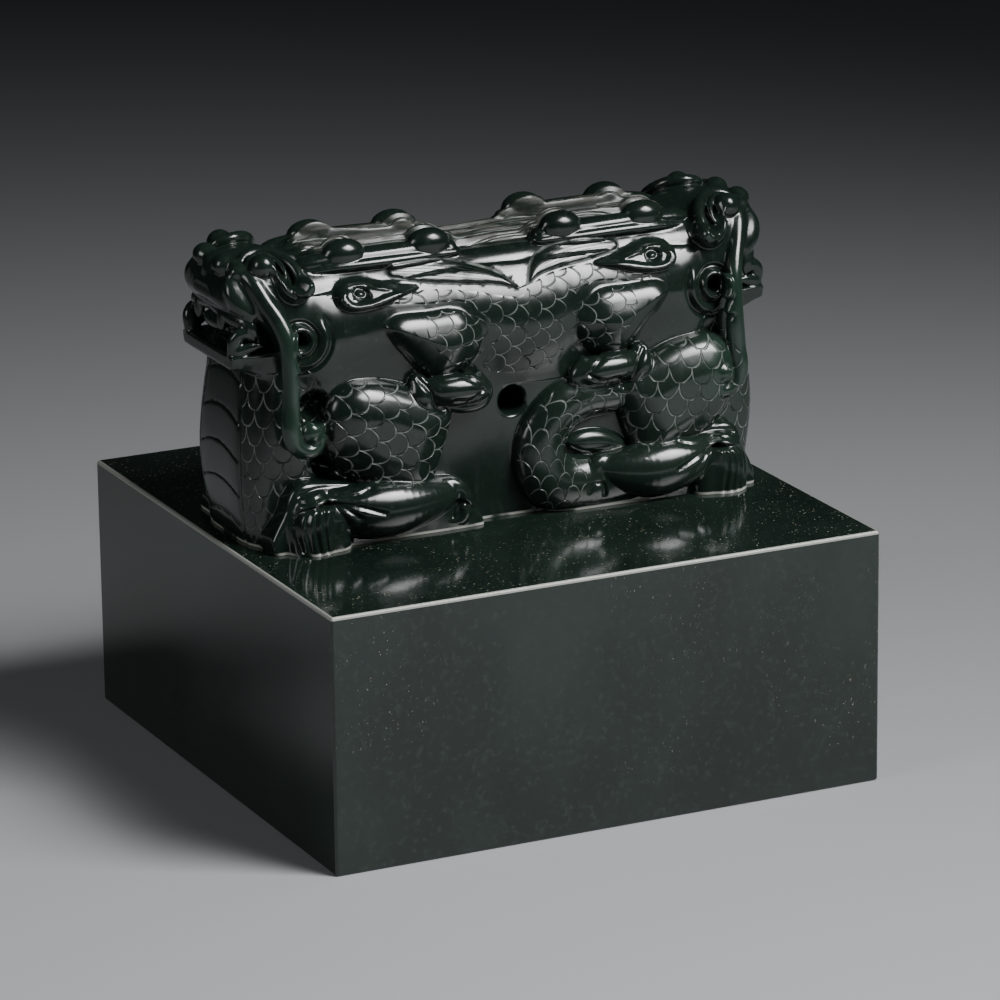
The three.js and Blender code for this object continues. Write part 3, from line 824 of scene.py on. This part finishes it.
def surface_maps(places):
    """Attributes of the knob's corners, from their places above the block: scale rows, locks and tones."""
    side = np.where(places[:, 1] > 0, -1, 1)
    along, out, up = places[:, 0] * side, np.abs(places[:, 1]), places[:, 2]
    maps = {}
    for number, (gap, rows) in enumerate(wall_regions()):
        u, v = rows(along, up)
        maps[f"scales_{number}"] = np.stack([u, v, np.maximum(gap(along, up), 9 - out)], axis=1)
    u, v, edge = neck_lattice(np.abs(along), out, up)
    maps[f"scales_{len(maps)}"] = np.stack([u, v, edge], axis=1)
    shares, edges = zip(*(lock_places(points, along, up) for points in LOCKS.values()))
    near = edges[0] < edges[1]
    lock_edge = np.maximum(np.minimum(*edges), 6 - out)
    plain = np.where(out > 9, plain_gap(along, up), 9)
    maps["locks"] = np.stack([np.where(near, *shares), lock_edge, plain], axis=1)
    # where the whisker's stone is thin; the material paints a glow of light through it there
    thin = step_up(np.abs(along), 36, 38) * step_up(out, 15.2, 16.6) * step_up(up, 16, 20)
    mane = step_up(6.2 - out, 0, 1) * step_up(up, 46, 48) * step_up(36 - np.abs(along), 0, 4)
    maps["tones"] = np.stack([thin, mane, out + waver_at(along)], axis=1)
    return maps


def make_seal():
    knob, knob_normals, knob_faces, knob_maps = make_knob()
    block, block_faces = make_block()
    places = np.vstack([knob, block]) * MM
    faces = knob_faces.tolist() + [[corner + len(knob) for corner in face] for face in block_faces]
    mesh = bpy.data.meshes.new("seal_carved")
    mesh.from_pydata(places.tolist(), [], faces)
    mesh.update()
    mesh.shade_smooth()
    for name, values in knob_maps.items():
        plain = (0, 0, 0) if name == "tones" else (0, 9, 9)
        values = np.vstack([values, np.tile(plain, (len(block), 1))]).astype(np.float32)
        mesh.attributes.new(name, "FLOAT_VECTOR", "POINT").data.foreach_set("vector", values.ravel())
    # the block's wide faces stay flat up to their eased edges, and the knob shades as its clay does
    widest = {}
    for face in sorted(mesh.polygons[len(knob_faces):], key=lambda face: -face.area):
        for corner in face.vertices:
            widest.setdefault(corner, face.normal)
    normals = []
    for face in mesh.polygons:
        wide = face.area > WIDE_FACE * MM ** 2
        for corner in face.vertices:
            of_block = face.normal if wide else widest.get(corner)
            normals.append(knob_normals[corner] if corner < len(knob) else of_block)
    mesh.normals_split_custom_set([tuple(normal) for normal in normals])
    piece = linked("seal_carved", mesh)
    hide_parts("seal")
    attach(piece, "root")
    return piece


class Nodes:
    """
    Shader nodes written as sums: an input is a number, a colour or another node's output. fade goes smoothly
    from 0 at low to 1 at high, and falls where low is above high. patches are faded noise.
    """

    def __init__(self, material):
        material.use_nodes = True
        self.tree = material.node_tree
        self.shader = self.tree.nodes["Principled BSDF"]

    def add(self, kind, inputs=(), output=0, **settings):
        node = self.tree.nodes.new(kind)
        for name, value in settings.items():
            setattr(node, name, value)
        for name, value in dict(inputs).items():
            self.put(node.inputs[name], value)
        return node.outputs[output]

    def put(self, socket, value):
        if isinstance(value, bpy.types.NodeSocket):
            self.tree.links.new(value, socket)
        else:
            socket.default_value = value

    def sum(self, operation, *values):
        return self.add("ShaderNodeMath", dict(enumerate(values)), operation=operation)

    def times(self, a, b, plus=None):
        """a times b, plus a third value where there is one."""
        return self.sum("MULTIPLY", a, b) if plus is None else self.sum("MULTIPLY_ADD", a, b, plus)

    def most(self, *values):
        """The greatest of the values."""
        return reduce(lambda a, b: self.sum("MAXIMUM", a, b), values)

    def fade(self, value, low, high):
        flip = low > high
        ends = {"Value": value, "From Min": min(low, high), "From Max": max(low, high),
                "To Min": float(flip), "To Max": 1.0 - flip}
        return self.add("ShaderNodeMapRange", ends, interpolation_type="SMOOTHSTEP")

    def mix(self, share, a, b, kind="RGBA"):
        node = self.tree.nodes.new("ShaderNodeMix")
        node.data_type = kind
        start = {"RGBA": 6, "VECTOR": 4, "FLOAT": 2}[kind]
        self.put(node.inputs[0], share)
        self.put(node.inputs[start], a)
        self.put(node.inputs[start + 1], b)
        return node.outputs[{"RGBA": 2, "VECTOR": 1, "FLOAT": 0}[kind]]

    def noise(self, place, scale, detail=3.0, rough=0.5):
        settings = {"Vector": place, "Scale": scale, "Detail": detail, "Roughness": rough}
        return self.add("ShaderNodeTexNoise", settings)

    def patches(self, place, scale, detail, low, high):
        return self.fade(self.noise(place, scale, detail), low, high)

    def stretched(self, place, factors, turn=(0, 0, 0)):
        return self.add("ShaderNodeMapping", {"Vector": place, "Rotation": turn, "Scale": factors})

    def apart(self, vector):
        node = self.tree.nodes.new("ShaderNodeSeparateXYZ")
        self.put(node.inputs[0], vector)
        return node.outputs

    def map(self, name):
        return self.add("ShaderNodeAttribute", output=1, attribute_name=name)


def scale_lines(nodes, place, count, plain):
    """The incised edges of the scales, 0 to 1, and the tilt of their plates."""
    chosen = nodes.map("scales_0")
    for number in range(1, count):
        other = nodes.map(f"scales_{number}")
        inside = nodes.sum("LESS_THAN", nodes.apart(other)[2], 0.0)
        chosen = nodes.mix(inside, chosen, other, "VECTOR")
    u, v, edge = nodes.apart(chosen)
    shake = nodes.times(nodes.noise(place, 260.0, 1.0), 0.3, -0.15)
    v = nodes.sum("ADD", v, shake)
    u = nodes.times(shake, 0.6, u)
    row = nodes.sum("FLOOR", v)
    along_row = nodes.sum("FRACT", v)
    across = nodes.sum("FRACT", nodes.sum("ADD", u, nodes.sum("FRACT", nodes.times(row, 0.5))))
    across = nodes.times(nodes.sum("SUBTRACT", across, 0.5), 2.0)
    tip = nodes.sum("SQRT", nodes.times(across, across, nodes.times(along_row, along_row)))
    gap = nodes.sum("ABSOLUTE", nodes.sum("SUBTRACT", tip, 1.0))
    within = nodes.times(nodes.fade(edge, -0.1, -0.5), nodes.fade(plain, 0.1, 0.4))
    tilt = nodes.sum("SUBTRACT", along_row, nodes.sum("GREATER_THAN", tip, 1.0))
    return nodes.times(nodes.fade(gap, 0.085, 0.02), within), nodes.times(tilt, within)


# The stone's colours, those of what lies in its cuts, and painted light: a glow where the stone is thin, and
# highlights along the join and the block's rim
STONE_DARK = (0.0042, 0.0088, 0.0068, 1)
STONE_LIGHT = (0.013, 0.0245, 0.0185, 1)
STONE_GRAIN = (0.016, 0.026, 0.02, 1)
# painted glow of light passing through the thin stone
STONE_THIN_GLOW = (0.016, 0.036, 0.026, 1)
GRAIN_GOLD = (0.26, 0.19, 0.1, 1)
GRAIN_PALE = (0.34, 0.36, 0.33, 1)
CUT_PALE = (0.27, 0.3, 0.28, 1)
CORNER_DUST = (0.105, 0.088, 0.068, 1)
HAIR_DUST = (0.09, 0.082, 0.068, 1)
# painted highlight along the join of the carving and the block
PAINTED_JOIN_HIGHLIGHT = (0.5, 0.5, 0.46, 1)
# worn rim, its pale colour partly a painted highlight along the block's top edges
RIM_WEAR_AND_HIGHLIGHT = (0.42, 0.43, 0.4, 1)
STONE_IOR = 1.61


def cut_lines(nodes, place, mane, mane_row):
    """The incised lines of scales, locks and combed hair, 0 to 1, and the tilt of the scales' plates."""
    share, lock_edge, plain = nodes.apart(nodes.map("locks"))
    scales, tilt = scale_lines(nodes, place, len(wall_regions()) + 1, plain)
    strand = nodes.sum("PINGPONG", nodes.times(share, LOCK_LINES), 0.5)
    combed = nodes.times(nodes.fade(strand, 0.42, 0.5), nodes.fade(lock_edge, 0.0, -0.3))
    border = nodes.fade(nodes.sum("ABSOLUTE", lock_edge), 0.26, 0.12)
    hair = nodes.fade(nodes.sum("PINGPONG", nodes.times(mane_row, 0.8), 0.5), 0.34, 0.48)
    return nodes.most(scales, combed, border, nodes.times(hair, mane)), tilt


def cloudy_body(nodes, place, thin):
    """The stone's own colour, with a painted glow of light through the stone where it is thin."""
    cloud = nodes.noise(nodes.stretched(place, (1, 1, 0.6), (0.3, 0.5, 0.2)), 28.0, 6.0, 0.62)
    body = nodes.add("ShaderNodeValToRGB", {"Fac": cloud})
    for end, position, colour in zip(body.node.color_ramp.elements, (0.32, 0.7), (STONE_DARK, STONE_LIGHT)):
        end.position = position
        end.color = colour
    body = nodes.mix(nodes.fade(nodes.noise(place, 900.0, 3.0, 0.6), 0.5, 0.75), body, STONE_GRAIN)
    return nodes.mix(nodes.times(thin, 0.8), body, STONE_THIN_GLOW)


def pits_and_nicks(nodes, place, above, carved):
    """Pits and nicks that hold a pale or golden grain, in clusters, most of them on the block's top."""
    upper = nodes.sum("SUBTRACT", nodes.fade(above, -0.6, -0.2), carved)
    favoured = nodes.fade(nodes.apart(place)[0], -0.03, 0.012)
    cluster = nodes.times(upper, 0.24, nodes.noise(place, 29.0, 4.0))
    cluster = nodes.times(favoured, 0.09, cluster)
    where = nodes.times(nodes.fade(cluster, 0.58, 0.78), nodes.times(carved, -0.8, 1.0))
    grain = nodes.add("ShaderNodeTexVoronoi", {"Vector": place, "Scale": 1050.0})
    pits = nodes.sum("LESS_THAN", grain, nodes.times(where, 0.13, 0.035))
    pits = nodes.times(pits, nodes.patches(place, 300.0, 1.0, 0.5, 0.56))
    nicks = nodes.patches(nodes.stretched(place, (1, 1, 0.4), (0.7, 0.9, 1.1)), 2600.0, 1.0, 0.72, 0.77)
    return nodes.most(pits, nodes.times(nicks, where))


def paint_join_highlight(nodes, place, above):
    """The pale line painted where the carving meets the block: a painted highlight along the join, in
    patches.
    """
    line = nodes.times(nodes.fade(above, 0.03, 0.08), nodes.fade(above, 0.65, 0.4))
    return nodes.times(line, nodes.patches(place, 150.0, 2.0, 0.36, 0.5))


def paint_rim_wear_and_highlight(nodes, place, above):
    """The worn edges round the block's top, painted pale: partly wear, partly a painted highlight along the
    rim.
    """
    x, y = nodes.apart(place)[:2]
    reach = nodes.most(nodes.sum("ABSOLUTE", x), nodes.sum("ABSOLUTE", y))
    edge = nodes.fade(reach, (BLOCK_SIDE / 2 - 0.6) * MM, (BLOCK_SIDE / 2 - 0.5) * MM)
    edge = nodes.times(edge, nodes.fade(above, -0.65, -0.55))
    return nodes.times(edge, nodes.fade(above, 0.1, 0.02))


def stone_material():
    """Polished dark green nephrite: cloudy, lightly pitted and scratched, with pale cut lines."""
    material = bpy.data.materials.new("polished_nephrite")
    nodes = Nodes(material)
    place = nodes.add("ShaderNodeTexCoord", output=3)
    thin, mane, mane_row = nodes.apart(nodes.map("tones"))
    # in millimetres above the block's top
    above = nodes.times(nodes.apart(place)[2], 1 / MM, -BLOCK_HEIGHT)
    carved = nodes.fade(above, 0.4, 2.0)
    cuts, tilt = cut_lines(nodes, place, mane, mane_row)
    pale = nodes.times(cuts, nodes.patches(place, 420.0, 2.0, 0.3, 0.7))
    grains = pits_and_nicks(nodes, place, above, carved)
    # how the surface bends: less than a half in a hollow
    bend = nodes.add("ShaderNodeNewGeometry", output=7)
    deep = nodes.times(nodes.fade(bend, 0.47, 0.40), nodes.patches(place, 380.0, 3.0, 0.42, 0.62))
    hair_dust = nodes.times(mane, nodes.patches(nodes.stretched(place, (0.2, 1, 1)), 900.0, 3.0, 0.4, 0.66))
    # foot is a painted highlight: a pale line where the carving meets the block
    foot = paint_join_highlight(nodes, place, above)
    # the block's rim, made pale both as wear and as a painted highlight
    rim_wear_and_highlight = paint_rim_wear_and_highlight(nodes, place, above)

    colour = cloudy_body(nodes, place, thin)
    gold = nodes.mix(nodes.noise(place, 700.0, 0.0), GRAIN_GOLD, GRAIN_PALE)
    layers = ((grains, 0.75, gold), (pale, 0.72, CUT_PALE), (deep, 0.55, CORNER_DUST),
              (hair_dust, 0.5, HAIR_DUST), (foot, 0.85, PAINTED_JOIN_HIGHLIGHT), (rim_wear_and_highlight, 0.8, RIM_WEAR_AND_HIGHLIGHT))
    for where, strength, layer in layers:
        colour = nodes.mix(nodes.times(where, strength), colour, layer)
    nodes.put(nodes.shader.inputs["Base Color"], colour)

    rubbed = nodes.stretched(place, (1, 1, 0.05), (0.5, 1.2, 0.3))
    rough = nodes.times(nodes.noise(place, 60.0, 4.0), 0.1, 0.05)
    rough = nodes.times(carved, 0.09, rough)
    rough = nodes.times(nodes.patches(rubbed, 700.0, 2.0, 0.55, 0.8), 0.07, rough)
    dull = nodes.most(pale, grains, deep, hair_dust, nodes.times(mane, 0.4), foot, nodes.times(rim_wear_and_highlight, 0.4))
    nodes.put(nodes.shader.inputs["Roughness"], nodes.mix(dull, rough, 0.62, "FLOAT"))
    nodes.shader.inputs["IOR"].default_value = STONE_IOR

    height = nodes.times(tilt, 0.07, nodes.times(cuts, -0.2))
    height = nodes.times(grains, -0.04, height)
    height = nodes.times(nodes.noise(place, 240.0, 2.0), 0.012, height)
    bump = nodes.add("ShaderNodeBump", {"Strength": 1.0, "Distance": MM, "Height": height})
    nodes.put(nodes.shader.inputs["Normal"], bump)
    return material


# The camera, found by fitting the block's corners in the photograph
CAMERA_TURN = math.radians(-25.53)
CAMERA_RISE = math.radians(17.0)
CAMERA_ROLL = math.radians(-0.72)
CAMERA_PLACE = (-431.0, -911.3, 354.6)
SENSOR = 36.0
LENS_PER_SENSOR = 5.7349


def make_camera():
    data = bpy.data.cameras.new("camera")
    data.sensor_width = SENSOR
    data.lens = SENSOR * LENS_PER_SENSOR
    camera = linked("camera", data)
    turns = ((CAMERA_TURN, "Z"), (math.pi / 2 - CAMERA_RISE, "X"), (CAMERA_ROLL, "Z"))
    turned = reduce(lambda a, b: a @ b, (Matrix.Rotation(angle, 4, axis) for angle, axis in turns))
    camera.matrix_world = Matrix.Translation(Vector(CAMERA_PLACE) * MM) @ turned
    bpy.context.scene.camera = camera


def softbox(name, place, aim, size, power, spread):
    """A rectangular light in metres and watts, aimed at a point, with its spread in degrees."""
    data = bpy.data.lights.new(name, "AREA")
    data.shape = "RECTANGLE"
    data.size, data.size_y = size
    data.energy = power
    data.spread = math.radians(spread)
    lamp = linked(name, data)
    lamp.location = place
    lamp.rotation_euler = (Vector(aim) - Vector(place)).to_track_quat("-Z", "Y").to_euler()


FLOOR_HALF = 3.0
FLOOR_COLOUR = (0.37, 0.38, 0.39, 1)
FLOOR_ROUGHNESS = 0.85
ROOM_COLOUR = (0.012, 0.013, 0.014, 1)


def make_studio():
    """A plain pale floor, a large soft key light from the right, and a weak one from the left."""
    floor = bpy.data.meshes.new("floor")
    corners = [(x * FLOOR_HALF, y * FLOOR_HALF, 0) for x, y in ((-1, -1), (1, -1), (1, 1), (-1, 1))]
    floor.from_pydata(corners, [], [(0, 1, 2, 3)])
    plane = linked("floor", floor)
    paper = bpy.data.materials.new("floor_paper")
    paper.use_nodes = True
    shader = paper.node_tree.nodes["Principled BSDF"]
    shader.inputs["Base Color"].default_value = FLOOR_COLOUR
    shader.inputs["Roughness"].default_value = FLOOR_ROUGHNESS
    floor.materials.append(paper)
    softbox("key", place=(0.45, -0.66, 0.76), aim=(-0.02, -0.3, 0), size=(0.5, 0.54), power=3.7, spread=66)
    softbox("side", place=(-0.9, -0.2, 0.5), aim=(-0.05, -0.02, 0.06), size=(0.3, 0.5), power=0.25, spread=60)
    world = bpy.data.worlds.new("studio")
    world.use_nodes = True
    world.node_tree.nodes["Background"].inputs["Color"].default_value = ROOM_COLOUR
    bpy.context.scene.world = world


make_camera()
seal = make_seal()
seal.data.materials.append(stone_material())
make_studio()
